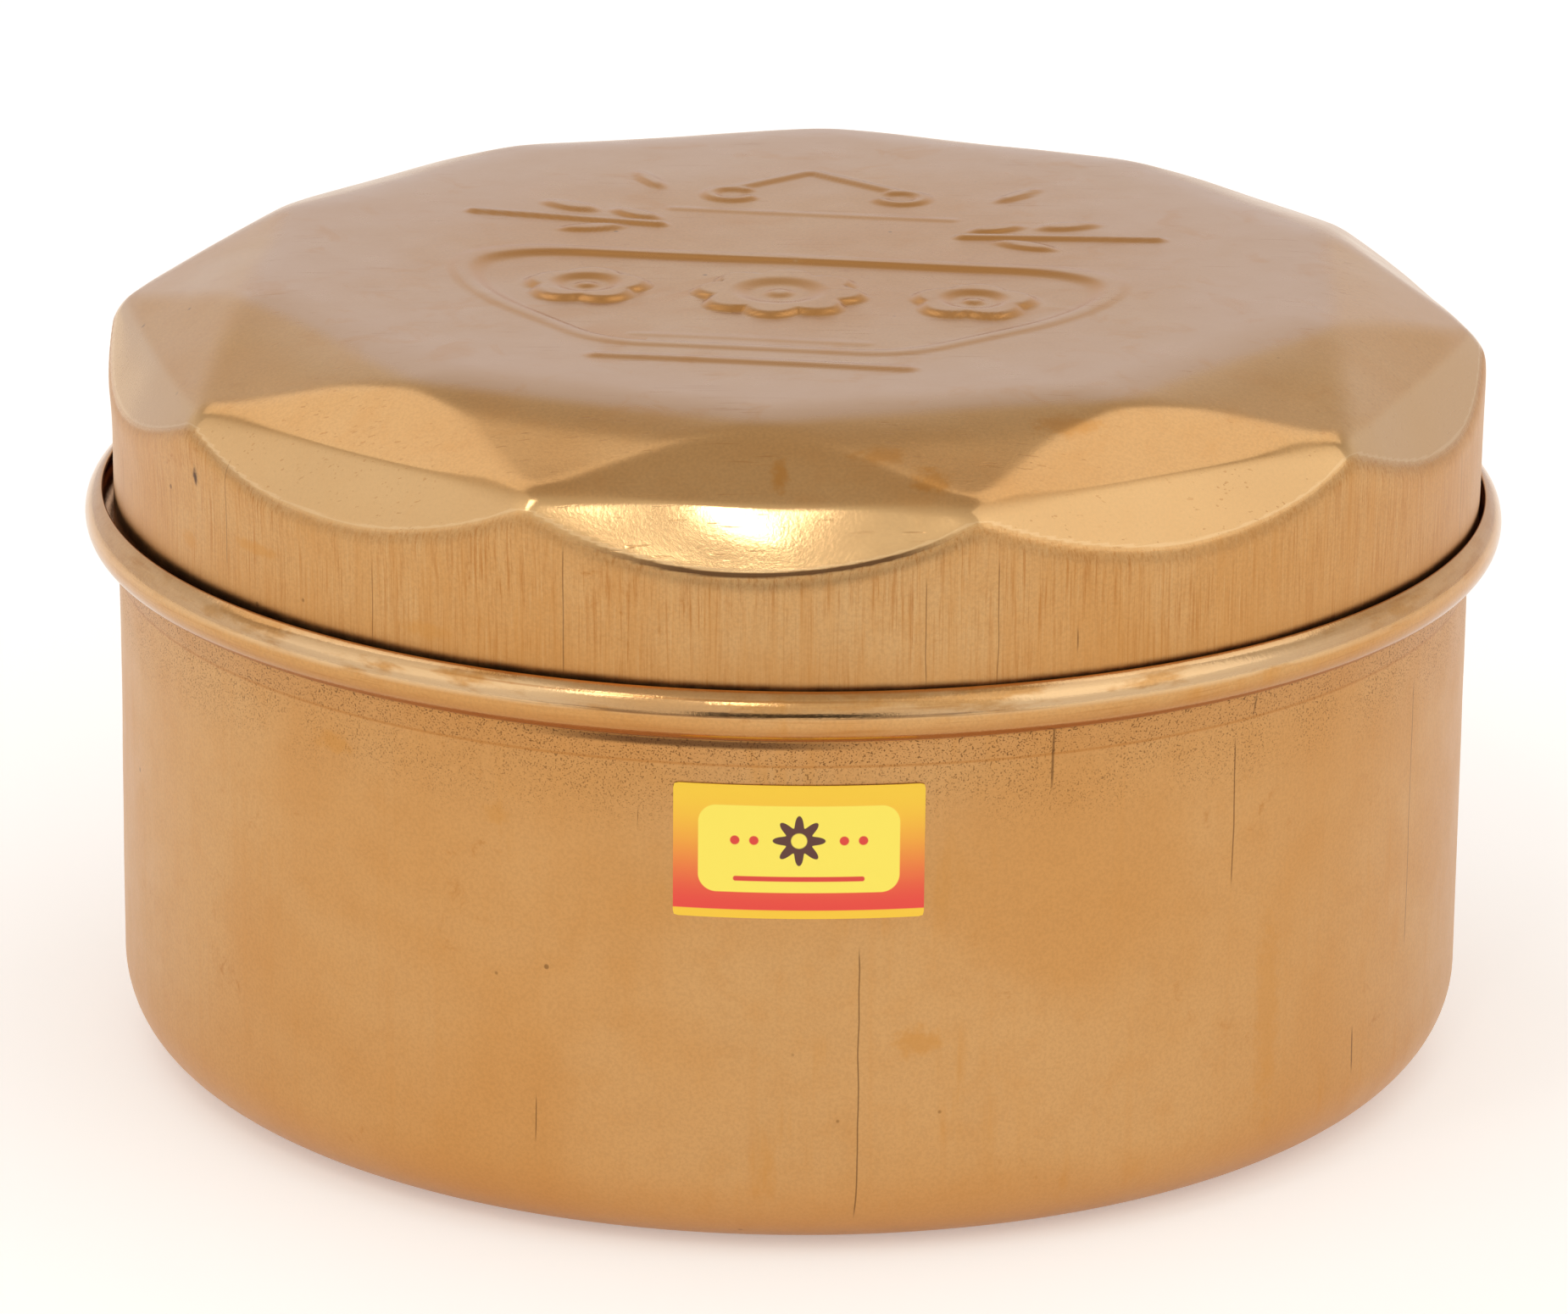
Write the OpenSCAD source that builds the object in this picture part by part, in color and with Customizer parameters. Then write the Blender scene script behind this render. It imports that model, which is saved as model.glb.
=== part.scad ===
// Round drawn-brass spice box. Its lid drops inside the rolled rim of the body, and
// seven small cups and a spoon stand inside. Millimetres, +Z up, origin at the centre
// of the base, and the front with the label faces -Y.

/* [Body] */
// Outer diameter of the straight wall
body_d = 191; // [150:1:240]
// Height from the base to the raw edge of the rolled rim
body_h = 80.7; // [64:0.1:110]
// Thickness of the brass sheet of the body and the lid
sheet = 0.6; // [0.4:0.1:1]
// Outer radius of the rounded bottom edge
base_r = 12; // [6:0.5:15]

/* [Rolled rim] */
// Outer radius of the rim's rolled section
bead_r = 3.8; // [3:0.1:5]
// How far the roll curls in above its widest point, in degrees
bead_turn = 63; // [50:1:70]
// How far the wall steps out below the roll
flare_step = 0.7; // [0.5:0.1:1.5]
// Height of the sloping step below the roll
flare_h = 3.9; // [2:0.1:6]

/* [Lid] */
// Height from the skirt's edge to the flat top
lid_h = 37.6; // [28:0.1:50]
// Radial clearance between the skirt and the rim's raw edge
lid_gap = 0.6; // [0.3:0.1:1.5]
// Gap that is left under the seated skirt
lid_seat_gap = 0.3; // [0.2:0.1:1]
// Number of pressed facets round the crown
facet_count = 10; // [6:1:16]
// Turn of the front facet away from the label side, in degrees
facet_turn = -3.5; // [-18:0.5:18]
// How far in from the skirt the corners between two facets lie
facet_inset = 1.25; // [0.8:0.05:3]
// How far each facet runs down the skirt below those corners
facet_h = 9.2; // [6:0.1:14]
// Height of the bevel between the flat top and the facets
bevel_h = 8; // [5:0.1:12]
// Width of the bevel, measured at the corners of the flat top
bevel_w = 18; // [12:0.1:30]

/* [Pressed pattern] */
// How far the pattern stands above the flat top
motif_h = 0.5; // [0.3:0.1:0.8]
// Width of the pattern's lines
motif_line = 2; // [1.5:0.1:3]
// Turn of the whole pattern, in degrees
motif_turn = -7.5; // [-20:0.5:20]
// Half the length of the long panel
panel_l = 45; // [40:1:50]
// Depth of the panel from its straight back edge to its front edge
panel_w = 44; // [40:1:48]
// Overall diameter of each pressed flower
flower_d = 19; // [14:0.5:20]
// Overall diameter of the middle rosette
rosette_d = 27; // [20:0.5:30]

/* [Label] */
// Width of the sticker along the wall
label_w = 33; // [20:0.5:50]
// Height of the sticker
label_h = 18.4; // [10:0.1:30]
// Height of the sticker's lower edge above the base
label_z = 48.7; // [40:0.1:50]
// Turn of the sticker's middle away from the front, in degrees
label_turn = 0.7; // [-5:0.1:5]
// Thickness of the sticker
label_t = 0.2; // [0.1:0.05:0.4]

/* [Cups] */
// Height of each cup
cup_h = 45; // [35:0.5:54]
// Thickness of the cups' sheet
cup_sheet = 0.5; // [0.4:0.1:0.8]
// Outer radius of the curled edge of a cup
cup_bead_r = 1.5; // [1.2:0.1:2]
// Outer radius of the rounded bottom of a cup
cup_base_r = 8; // [5:0.5:9]
// How much narrower each side of a cup is at the bottom
cup_taper = 0.75; // [0.3:0.05:2]
// Gap between two neighbouring cups at their rims
cup_gap = 1; // [0.6:0.1:2]
// Gap between the outer cups and the wall of the body
cup_wall_gap = 7.0; // [2.5:0.1:9]

/* [Spoon] */
// Overall length of the spoon
spoon_len = 80; // [72:1:82]
// Diameter of the spoon's bowl
spoon_bowl_d = 19; // [15:0.5:21]
// Depth of the spoon's bowl
spoon_bowl_h = 5; // [3.5:0.1:6]
// Thickness of the spoon's metal
spoon_t = 1; // [0.6:0.1:1.5]
// Width of the handle at the bowl
spoon_neck_w = 3.6; // [3:0.1:5]
// Width of the handle at its end
spoon_tail_w = 6; // [4:0.1:6.5]
// Gap between the spoon and the cup that it leans in
spoon_gap = 0.3; // [0.2:0.1:0.8]

/* [Hidden] */
$fn = 96;
// How far a cutting shape passes the face that it cuts
over = 1;

// Body: radii of the wall, and the middle of the rim's rolled section
body_r = body_d / 2;
body_in_r = body_r - sheet;
roll_r = body_r + flare_step;
roll_z = body_h - bead_r * sin(bead_turn);
flare_top_z = roll_z - bead_r;
flare_low_z = flare_top_z - flare_h;
knee_r = body_in_r + flare_step * (flare_h + sheet) / flare_h;

// Lid: the skirt passes the rim's raw edge and stops just above the inside of the roll
lid_r = roll_r + (bead_r - sheet) * cos(bead_turn) - lid_gap;
lid_z = roll_z - sqrt(pow(bead_r - sheet, 2) - pow(lid_r - roll_r, 2)) + lid_seat_gap;
top_z = lid_z + lid_h;
facet_pitch = 360 / facet_count;
front_facet = -90 + facet_turn;
corner_r = lid_r - facet_inset;
corner_z = top_z - bevel_h;
chord_r = corner_r * cos(facet_pitch / 2);
crown_r = lid_r - bevel_w;
facet_slope = atan2(facet_h, lid_r - chord_r);
broad_slope = atan2(bevel_h, chord_r - crown_r);
narrow_slope = atan2(bevel_h, corner_r - crown_r * cos(facet_pitch / 2));

// Pattern: named places in its own frame, x along the panel and y towards the back
motif_sink = sheet / 2;
line_end = 1.2;
back_inset = 10;
tab_inset = 25;
panel_back = panel_l - back_inset;
panel_tab = panel_l - tab_inset;
panel_mid = -panel_w * 0.39;
tab_depth = 8;
flower_x = panel_l * 0.6;
flower_petals = 5;
flower_petal_share = 0.42;
rosette_petals = 8;
rosette_petal_share = 0.28;
rosette_hole_share = 0.3;
bar_y = 25.5;
bar_half = 20;
arch_y = 36;
arch_r = 12;
spray_x = 36;
spray_y = 27;
spray_len = 24;
leaf_r = 3;

// Cups: six round one, so the ring's radius is also the distance between neighbours
cup_count = 6;
first_cup = 30;
cup_rim_r = (body_in_r - cup_wall_gap - cup_gap) / 3;
cup_ring_r = 2 * cup_rim_r + cup_gap;
cup_bead_at = cup_rim_r - cup_bead_r;
cup_top_r = cup_bead_at - cup_bead_r + cup_sheet;
cup_low_r = cup_top_r - cup_taper;
cup_flat_r = cup_low_r - cup_base_r;
// The curled edge stays open between these angles below its inner side, so it isn't a sealed tube
curl_open_from = 2;
curl_open_to = 50;

// Spoon: it leans from the far edge of the cup's floor to the cup's rim
bowl_r = spoon_bowl_d / 2;
bowl_ball_r = (pow(bowl_r, 2) + pow(spoon_bowl_h, 2)) / (2 * spoon_bowl_h);
bowl_ball_up = bowl_ball_r - spoon_bowl_h;
spoon_lean = atan2(cup_h, cup_bead_at + cup_flat_r);
spoon_z = sheet + cup_sheet + spoon_gap + bowl_ball_r - bowl_ball_up * cos(spoon_lean);
rim_rise = sheet + cup_h - cup_bead_r - spoon_z;
rim_stand = spoon_t + cup_bead_r + spoon_gap;
spoon_x = cup_bead_at - (rim_rise * cos(spoon_lean) + rim_stand) / sin(spoon_lean);

// Flat arc of sheet metal: outer radius r, thickness t, from angle a to angle b
module sheet_arc(r, t, a, b) {
    reach = 2 * r;
    mid = (a + b) / 2;
    intersection() {
        difference() {
            circle(r);
            circle(r - t);
        }
        polygon([
            [0, 0],
            [reach * cos(a), reach * sin(a)],
            [reach * 2 * cos(mid), reach * 2 * sin(mid)],
            [reach * cos(b), reach * sin(b)]
        ]);
    }
}

// Drawn cup from the outside of its flat floor to the top of its wall, as a half section
module drawn_section(low_r, top_r, corner_r, wall_top, t) {
    square([low_r - corner_r, t]);
    translate([low_r - corner_r, corner_r])
        sheet_arc(corner_r, t, -90, 0);
    polygon([
        [low_r - t, corner_r],
        [low_r, corner_r],
        [top_r, wall_top],
        [top_r - t, wall_top]
    ]);
}

module body_section() {
    drawn_section(body_r, body_r, base_r, flare_low_z, sheet);
    polygon([
        [body_in_r, flare_low_z],
        [body_r, flare_low_z],
        [roll_r, flare_top_z],
        [roll_r, flare_top_z + sheet],
        [knee_r, flare_top_z + sheet]
    ]);
    translate([roll_r, roll_z])
        sheet_arc(bead_r, sheet, -90, bead_turn);
}

module body() {
    color("#c99a55")
    rotate_extrude()
        body_section();
}

// Removes everything above a sloping plane that passes through radius r at height z
module slope_cut(turn, r, z, slope, shrink) {
    span = 2 * lid_r;
    rotate([0, 0, turn])
        translate([r, 0, z])
            rotate([0, slope, 0])
                translate([-lid_r, -lid_r, -shrink])
                    cube([span, span, lid_r]);
}

// Solid crown of the lid with every face moved in by shrink
module crown(shrink, low_z) {
    difference() {
        translate([0, 0, low_z])
            cylinder(r = lid_r - shrink, h = top_z - shrink - low_z);
        for (i = [0 : facet_count - 1]) {
            turn = front_facet + i * facet_pitch;
            slope_cut(turn, chord_r, corner_z, facet_slope, shrink);
            slope_cut(turn, chord_r, corner_z, broad_slope, shrink);
            slope_cut(turn + facet_pitch / 2, corner_r, corner_z, narrow_slope, shrink);
        }
    }
}

// Line of the pressed pattern from point a to point b, with round ends
module pressed_line(a, b) {
    run = b - a;
    translate(a)
        rotate(atan2(run[1], run[0]))
            translate([0, -motif_line / 2])
                square([norm(run), motif_line]);
    for (end = [a, b])
        translate(end)
            circle(d = motif_line * line_end);
}

// Ring of round petals whose overall diameter is d
module petals(d, count, share) {
    petal_r = d * share / 2;
    for (i = [0 : count - 1])
        rotate(90 + i * 360 / count)
            translate([d / 2 - petal_r, 0])
                circle(petal_r);
}

module panel_outline() {
    path = [
        [-panel_back, 0], [panel_back, 0], [panel_l, panel_mid], [panel_tab, -panel_w],
        [panel_tab, -panel_w - tab_depth], [-panel_tab, -panel_w - tab_depth],
        [-panel_tab, -panel_w], [-panel_l, panel_mid]
    ];
    for (i = [0 : len(path) - 1])
        pressed_line(path[i], path[(i + 1) % len(path)]);
}

// Stem with three leaves, drawn to the right of the middle
module leaf_spray() {
    pressed_line([spray_x - spray_len / 2, spray_y - leaf_r], [spray_x + spray_len / 2, spray_y - leaf_r]);
    for (i = [-1 : 1])
        translate([spray_x + i * spray_len / 3, spray_y + leaf_r])
            circle(leaf_r);
}

module motif_flat() {
    panel_outline();
    for (side = [-1, 1])
        translate([side * flower_x, panel_mid])
            petals(flower_d, flower_petals, flower_petal_share);
    translate([0, panel_mid])
        difference() {
            petals(rosette_d, rosette_petals, rosette_petal_share);
            circle(d = rosette_d * rosette_hole_share);
        }
    pressed_line([-bar_half, bar_y], [bar_half, bar_y]);
    translate([0, arch_y])
        intersection() {
            difference() {
                circle(arch_r);
                circle(arch_r - motif_line);
            }
            translate([-arch_r, 0])
                square([2 * arch_r, arch_r]);
        }
    for (side = [0, 1])
        mirror([side, 0])
            leaf_spray();
}

module lid() {
    color("#c7976b") {
        difference() {
            crown(0, lid_z);
            crown(sheet, lid_z - over);
        }
        translate([0, 0, top_z - motif_sink])
            rotate([0, 0, motif_turn])
                linear_extrude(motif_h + motif_sink)
                    motif_flat();
    }
}

module label() {
    span = label_w / body_r * 180 / PI;
    color("#f2b632")
    rotate([0, 0, -90 + label_turn - span / 2])
        rotate_extrude(angle = span)
            translate([body_r, label_z])
                square([label_t, label_h]);
}

module cup() {
    bead_z = cup_h - cup_bead_r;
    reach = 2 * cup_bead_r;
    open_mid = (curl_open_from + curl_open_to) / 2;
    rotate_extrude() {
        drawn_section(cup_low_r, cup_top_r, cup_base_r, bead_z, cup_sheet);
        translate([cup_bead_at, bead_z])
            difference() {
                circle(cup_bead_r);
                circle(cup_bead_r - cup_sheet);
                rotate(180)
                    polygon([
                        [0, 0],
                        [reach * cos(curl_open_from), reach * sin(curl_open_from)],
                        [2 * reach * cos(open_mid), 2 * reach * sin(open_mid)],
                        [reach * cos(curl_open_to), reach * sin(curl_open_to)]
                    ]);
            }
    }
}

module centre_cup() {
    color("#d2a860")
    translate([0, 0, sheet])
        cup();
}

module ring_cup(i) {
    color("#cfa35a")
    rotate([0, 0, first_cup + (i - 1) * 360 / cup_count])
        translate([cup_ring_r, 0, sheet])
            cup();
}

// Spoon laid level: bowl round the origin, its rim at z = 0 and its handle along +X
module spoon_level() {
    tail_x = spoon_len - bowl_r - spoon_tail_w / 2;
    neck_x = bowl_r - 2 * spoon_t;
    intersection() {
        translate([0, 0, bowl_ball_up])
            difference() {
                sphere(bowl_ball_r);
                sphere(bowl_ball_r - spoon_t);
            }
        translate([0, 0, -spoon_bowl_h - over])
            cylinder(r = bowl_r + over, h = spoon_bowl_h + over);
    }
    translate([0, 0, -spoon_t])
        linear_extrude(spoon_t) {
            polygon([
                [neck_x, -spoon_neck_w / 2],
                [tail_x, -spoon_tail_w / 2],
                [tail_x, spoon_tail_w / 2],
                [neck_x, spoon_neck_w / 2]
            ]);
            translate([tail_x, 0])
                circle(d = spoon_tail_w);
        }
}

module spoon() {
    color("#d9b46c")
    translate([spoon_x, 0, spoon_z])
        rotate([0, -spoon_lean, 0])
            spoon_level();
}

body();
lid();
label();
centre_cup();
for (i = [1 : cup_count])
    ring_cup(i);
spoon();
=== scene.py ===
"""Looks of a round brass spice box: rolled-rim body, faceted drop-in lid, label, cups and spoon."""

import math

import bpy
import numpy as np
from mathutils import Matrix, Vector


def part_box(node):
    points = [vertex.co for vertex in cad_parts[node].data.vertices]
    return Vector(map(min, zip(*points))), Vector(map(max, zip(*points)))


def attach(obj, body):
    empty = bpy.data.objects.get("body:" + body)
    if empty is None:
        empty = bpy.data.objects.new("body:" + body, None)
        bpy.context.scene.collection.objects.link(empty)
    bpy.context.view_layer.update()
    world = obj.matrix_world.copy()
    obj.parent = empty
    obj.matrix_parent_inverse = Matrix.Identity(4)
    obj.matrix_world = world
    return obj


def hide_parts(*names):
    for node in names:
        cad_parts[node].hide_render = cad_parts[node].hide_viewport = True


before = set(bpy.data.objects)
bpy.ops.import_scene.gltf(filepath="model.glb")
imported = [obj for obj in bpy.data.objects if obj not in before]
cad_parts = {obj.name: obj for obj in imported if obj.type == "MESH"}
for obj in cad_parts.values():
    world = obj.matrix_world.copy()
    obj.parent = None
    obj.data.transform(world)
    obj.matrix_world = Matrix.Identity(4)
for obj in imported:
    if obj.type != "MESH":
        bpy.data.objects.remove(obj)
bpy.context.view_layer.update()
MM = 0.001


def box_mm(node):
    """Lowest and highest corner of a CAD node, in millimetres."""
    low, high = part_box(node)
    return np.array(low) / MM, np.array(high) / MM


BODY_HIGH = box_mm("body")[1]
LID_LOW, LID_HIGH = box_mm("lid")
LABEL_LOW, LABEL_HIGH = box_mm("label")
CUP_LOW, CUP_HIGH = box_mm("centre_cup")
SPOON_HIGH = box_mm("spoon")[1]

# Body, in millimetres: the roll's section touches the widest point of the box
SHEET = 0.6
BEAD_R = 3.8
BEAD_TURN = 63
FLARE_STEP = 0.7
FLARE_H = 3.9
BASE_R = 12.0
RIM_H = BODY_HIGH[2]
ROLL_R = BODY_HIGH[0] - BEAD_R
WALL_R = ROLL_R - FLARE_STEP
ROLL_Z = RIM_H - BEAD_R * math.sin(math.radians(BEAD_TURN))
FLARE_TOP = ROLL_Z - BEAD_R
FLARE_LOW = FLARE_TOP - FLARE_H
CENTRE_R = 6
BODY_SEGMENTS = 360

# Lid: a flat ten-sided top, sloping bevels, ten lens-shaped facets and a round skirt
MOTIF_H = 0.5
LID_R = LID_HIGH[0]
LID_EDGE = LID_LOW[2]
LID_TOP = LID_HIGH[2] - MOTIF_H
FACETS = 10
PITCH = 2 * math.pi / FACETS
FRONT_FACET = math.radians(-90 - 3.5)
FACET_INSET = 1.25
FACET_H = 9.2
BEVEL_H = 8.0
BEVEL_W = 18.0
CORNER_R = LID_R - FACET_INSET
CORNER_Z = LID_TOP - BEVEL_H
CHORD_R = CORNER_R * math.cos(PITCH / 2)
CROWN_R = LID_R - BEVEL_W
FACET_SLOPE = math.atan2(FACET_H, LID_R - CHORD_R)
BROAD_SLOPE = math.atan2(BEVEL_H, CHORD_R - CROWN_R)
NARROW_SLOPE = math.atan2(BEVEL_H, CORNER_R - CROWN_R * math.cos(PITCH / 2))
LID_SEGMENTS = 480

# The rays that find the lid's surface turn from upright to level about this circle
FAN_R = 24.0
FAN_X, FAN_Z = LID_R - FAN_R, LID_TOP - FAN_R

# Pressed pattern, in its own frame: u to the right, v towards the back
MOTIF_TURN = math.radians(-7.5)
PANEL_HALF = 46.0
PANEL_DEPTH = 44.0
PANEL_MID = 17.0
PANEL_FOOT = 20.0

# Bars: both ends, half width, softness and height
BARS = (
    ((-17, -39.5), (15, -39.5), 0.8, 0.7, 0.10),
    ((-20, -52.3), (22, -52.3), 1.0, 0.9, 0.34),
    ((-21, 25.5), (19, 25.5), 0.8, 0.8, 0.16),
)

# Leaves of a spray: middle, length, width and direction
LEAVES = (((26, 21.5), 9, 4, 30), ((36, 24.5), 10, 4.5, 25), ((31, 13.0), 10, 4, -20), ((27, 41), 11, 3, 60))

# Label
LABEL_TURN = math.radians(0.7)
LABEL_W = 33.0
LABEL_T = 0.2
LABEL_CORNER = 0.5

# Cups and spoon
CUP_SHEET = 0.5
CUP_BEAD_R = 1.5
CUP_BASE_R = 8.0
CUP_TAPER = 0.75
CUP_GAP = 1.0
CUP_COUNT = 6
FIRST_CUP = math.radians(30)
CUP_R = CUP_HIGH[0]
CUP_H = CUP_HIGH[2] - CUP_LOW[2]
SPOON_LEN = 80.0
SPOON_BOWL_R = 9.5
SPOON_BOWL_H = 5.0
SPOON_T = 1.0
SPOON_NECK_W = 3.6
SPOON_TAIL_W = 6.0
CUP_SEGMENTS = 112


# ---------------- mesh code

def new_object(name, verts, faces, crease_deg=35):
    """Smooth-shaded mesh object from points in millimetres."""
    mesh = bpy.data.meshes.new(name)
    mesh.from_pydata((np.asarray(verts) * MM).tolist(), [], faces)
    mesh.polygons.foreach_set("use_smooth", [True] * len(mesh.polygons))
    mesh.set_sharp_from_angle(angle=math.radians(crease_deg))
    mesh.update()
    piece = bpy.data.objects.new(name, mesh)
    bpy.context.scene.collection.objects.link(piece)
    return piece


def ring_faces(rings, segments, last_vertex):
    """Quads between rings of points, and a fan that closes each end at one point."""
    here = np.arange(segments)
    after = (here + 1) % segments
    faces = []
    for k in range(rings - 1):
        low, high = k * segments, (k + 1) * segments
        faces += np.column_stack([low + here, low + after, high + after, high + here]).tolist()
    first, last = last_vertex - 1, last_vertex
    faces += np.column_stack([np.full(segments, first), after, here]).tolist()
    top = (rings - 1) * segments
    faces += np.column_stack([np.full(segments, last), top + here, top + after]).tolist()
    return faces


def rim_faces(rim, count):
    """Quads along the rim of a sheet, from its first layer to its second, count points later."""
    return [[int(b), int(a), int(a) + count, int(b) + count] for a, b in zip(rim, rim[1:] + rim[:1])]


def closed_shell(name, rings, start, end, crease_deg=35):
    """Closed skin through rings of points, from the point start to the point end."""
    count, segments = rings.shape[:2]
    verts = np.vstack([rings.reshape(-1, 3), [start], [end]])
    return new_object(name, verts, ring_faces(count, segments, len(verts) - 1), crease_deg)


def arc(x, z, r, start_deg, end_deg, steps):
    """Points on an arc of a half section."""
    turns = np.radians(np.linspace(start_deg, end_deg, steps + 1))
    return [(x + r * math.cos(t), z + r * math.sin(t)) for t in turns]


def line(a, b, steps):
    """Points from a up to, but not at, b."""
    return [tuple(np.array(a) + (np.array(b) - np.array(a)) * k / steps) for k in range(steps)]


def revolve(section, segments):
    """Rings of points from a half section that is turned about the Z axis."""
    section = np.array(section)
    turn = np.linspace(0, 2 * math.pi, segments, endpoint=False)
    r, z = section[:, :1], section[:, 1:]
    return np.stack([r * np.cos(turn), r * np.sin(turn), np.broadcast_to(z, (len(section), segments))], -1)


def soft_waves(points, seed, length, count=14):
    """Smooth wobble between about -1 and 1 with waves of about the given length."""
    rng = np.random.default_rng(seed)
    total = np.zeros(points.shape[:-1])
    for _ in range(count):
        way = rng.normal(size=3)
        way /= np.linalg.norm(way)
        wave = length * rng.uniform(0.7, 1.6)
        total += np.sin(points @ way * (2 * math.pi / wave) + rng.uniform(0, 2 * math.pi))
    return total / math.sqrt(count)


def smooth_step(low, high, value):
    t = np.clip((value - low) / (high - low), 0, 1)
    return t * t * (3 - 2 * t)


def outward(points):
    """Unit radial direction of each point, without its height."""
    flat = points * np.array([1.0, 1.0, 0.0])
    return flat / np.maximum(np.linalg.norm(flat, axis=-1, keepdims=True), 1e-9)


# ---------------- body

def body_section():
    """Half section of the body: outside first, over the roll, and down the inside."""
    flat_r = WALL_R - BASE_R
    inner_r = WALL_R - SHEET
    knee = SHEET * FLARE_STEP / FLARE_H
    points = line((CENTRE_R, 0), (flat_r, 0), 12)
    points += arc(flat_r, BASE_R, BASE_R, -90, 0, 18)[:-1]
    points += line((WALL_R, BASE_R), (WALL_R, FLARE_LOW - 1.2), 46)
    points += line((WALL_R, FLARE_LOW - 1.2), (WALL_R, FLARE_LOW), 2)
    points += line((WALL_R, FLARE_LOW), (ROLL_R, FLARE_TOP + 0.05), 7)
    points += arc(ROLL_R, ROLL_Z, BEAD_R, -89, BEAD_TURN - 4, 30)
    edge = math.radians(BEAD_TURN)
    mid_r = BEAD_R - SHEET / 2
    edge_x, edge_z = ROLL_R + mid_r * math.cos(edge), ROLL_Z + mid_r * math.sin(edge)
    points += arc(edge_x, edge_z, SHEET / 2, BEAD_TURN - 10, BEAD_TURN + 190, 6)
    points += arc(ROLL_R, ROLL_Z, BEAD_R - SHEET, BEAD_TURN - 4, -90, 14)
    points += line((ROLL_R - knee, FLARE_TOP + SHEET), (inner_r, FLARE_LOW), 5)[1:]
    points += line((inner_r, FLARE_LOW), (inner_r, BASE_R), 24)
    points += arc(flat_r, BASE_R, BASE_R - SHEET, 0, -90, 12)[:-1]
    points += line((flat_r, SHEET), (CENTRE_R, SHEET), 10)
    return points + [(CENTRE_R, SHEET)]


def make_body():
    rings = revolve(body_section(), BODY_SEGMENTS)
    wobble = 0.09 * soft_waves(rings, 3, 60) + 0.03 * soft_waves(rings, 4, 17)
    z = rings[..., 2]
    wall = smooth_step(0, BASE_R, z) * (1 - smooth_step(RIM_H - 9, RIM_H - 2, z))
    rings = rings + outward(rings) * (wall * np.clip(wobble, -0.25, 0.0))[..., None]
    return closed_shell("body_shell", rings, (0, 0, 0), (0, 0, SHEET))


# ---------------- lid

def smooth_max(a, b, width):
    """Larger of two values, rounded over where they are closer than width."""
    h = np.maximum(width - np.abs(a - b), 0) / width
    return np.maximum(a, b) + h * h * width / 4


def segment_distance(u, v, a, b):
    """Distance of each point from the line between a and b."""
    a, b = np.array(a, float), np.array(b, float)
    way = b - a
    t = np.clip(((u - a[0]) * way[0] + (v - a[1]) * way[1]) / (way @ way), 0, 1)
    return np.hypot(u - a[0] - t * way[0], v - a[1] - t * way[1])


def arc_distance(u, v, centre, r, start_deg, end_deg):
    """Distance of each point from an arc."""
    du, dv = u - centre[0], v - centre[1]
    turn = np.degrees(np.arctan2(dv, du))
    middle, half = (start_deg + end_deg) / 2, (end_deg - start_deg) / 2
    off = (turn - middle + 180) % 360 - 180
    near = np.radians(middle + np.clip(off, -half, half))
    return np.hypot(du - r * np.cos(near), dv - r * np.sin(near))


def ridge(distance, half_width, soft=0.7):
    """Height from 1 on a line to 0 beside it."""
    return 1 - smooth_step(half_width - soft, half_width + soft, distance)


def panel_inside(u, v):
    """How far inside the long pressed panel each point lies: straight at the back, round at its ends."""
    lean = math.atan2(PANEL_DEPTH - PANEL_MID, PANEL_HALF - PANEL_FOOT)
    lower = (np.abs(u) - PANEL_HALF) * math.sin(lean) - (v + PANEL_MID) * math.cos(lean)
    outside = smooth_max(v, np.abs(u) - PANEL_HALF, 16.0)
    outside = smooth_max(outside, lower, 13.0)
    return -smooth_max(outside, -v - PANEL_DEPTH, 5.0)


def flower_height(u, v, centre, radius, petals, turn=0.0):
    """Raised flower with a sunk middle and a small boss."""
    du, dv = u - centre[0], v - centre[1]
    r = np.hypot(du, dv)
    lobes = radius * (0.83 + 0.17 * np.abs(np.cos(petals / 2 * (np.arctan2(dv, du) - turn))))
    raised = 1 - smooth_step(lobes - 1.6, lobes + 0.2, r)
    hollow = 1 - smooth_step(radius * 0.30, radius * 0.56, r)
    boss = 1 - smooth_step(radius * 0.06, radius * 0.2, r)
    return raised * (1 - 0.75 * hollow) + 0.45 * boss * raised


def leaf_height(u, v, centre, length, width, turn_deg):
    """Raised leaf shape."""
    t = math.radians(turn_deg)
    du, dv = u - centre[0], v - centre[1]
    along = (du * math.cos(t) + dv * math.sin(t)) / (length / 2)
    across = (-du * math.sin(t) + dv * math.cos(t)) / (width / 2)
    return 1 - smooth_step(0.55, 1.15, np.sqrt(along ** 2 + across ** 2))


def flowers_height(u, v):
    """The middle rosette and the flower at each side of it."""
    raised = 0.7 * flower_height(u, v, (0, -16.7), 12.6, 8)
    for side in (-1, 1):
        raised = np.maximum(raised, 0.72 * flower_height(u, v, (side * 27, -16.8), 9.3, 5, math.pi / 2))
    return raised


def arch_height(u, v):
    """A pointed arch whose feet curl in."""
    left = segment_distance(u, v, (-14.5, 37.5), (-5.0, 48.5))
    right = segment_distance(u, v, (10.0, 39.5), (-3.4, 48.5))
    curl_left = arc_distance(u, v, (-14.0, 34.6), 3.2, 60, 330)
    curl_right = arc_distance(u, v, (10.5, 36.3), 3.2, -150, 120)
    return 0.4 * ridge(np.minimum(np.minimum(left, right), np.minimum(curl_left, curl_right)), 1.0)


def spray_height(u, v):
    """A stem with leaves on the right side."""
    raised = 0.45 * ridge(segment_distance(u, v, (22, 16.5), (49, 19.5)), 1.1)
    for leaf in LEAVES:
        raised = np.maximum(raised, 0.42 * leaf_height(u, v, *leaf))
    return raised


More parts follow.
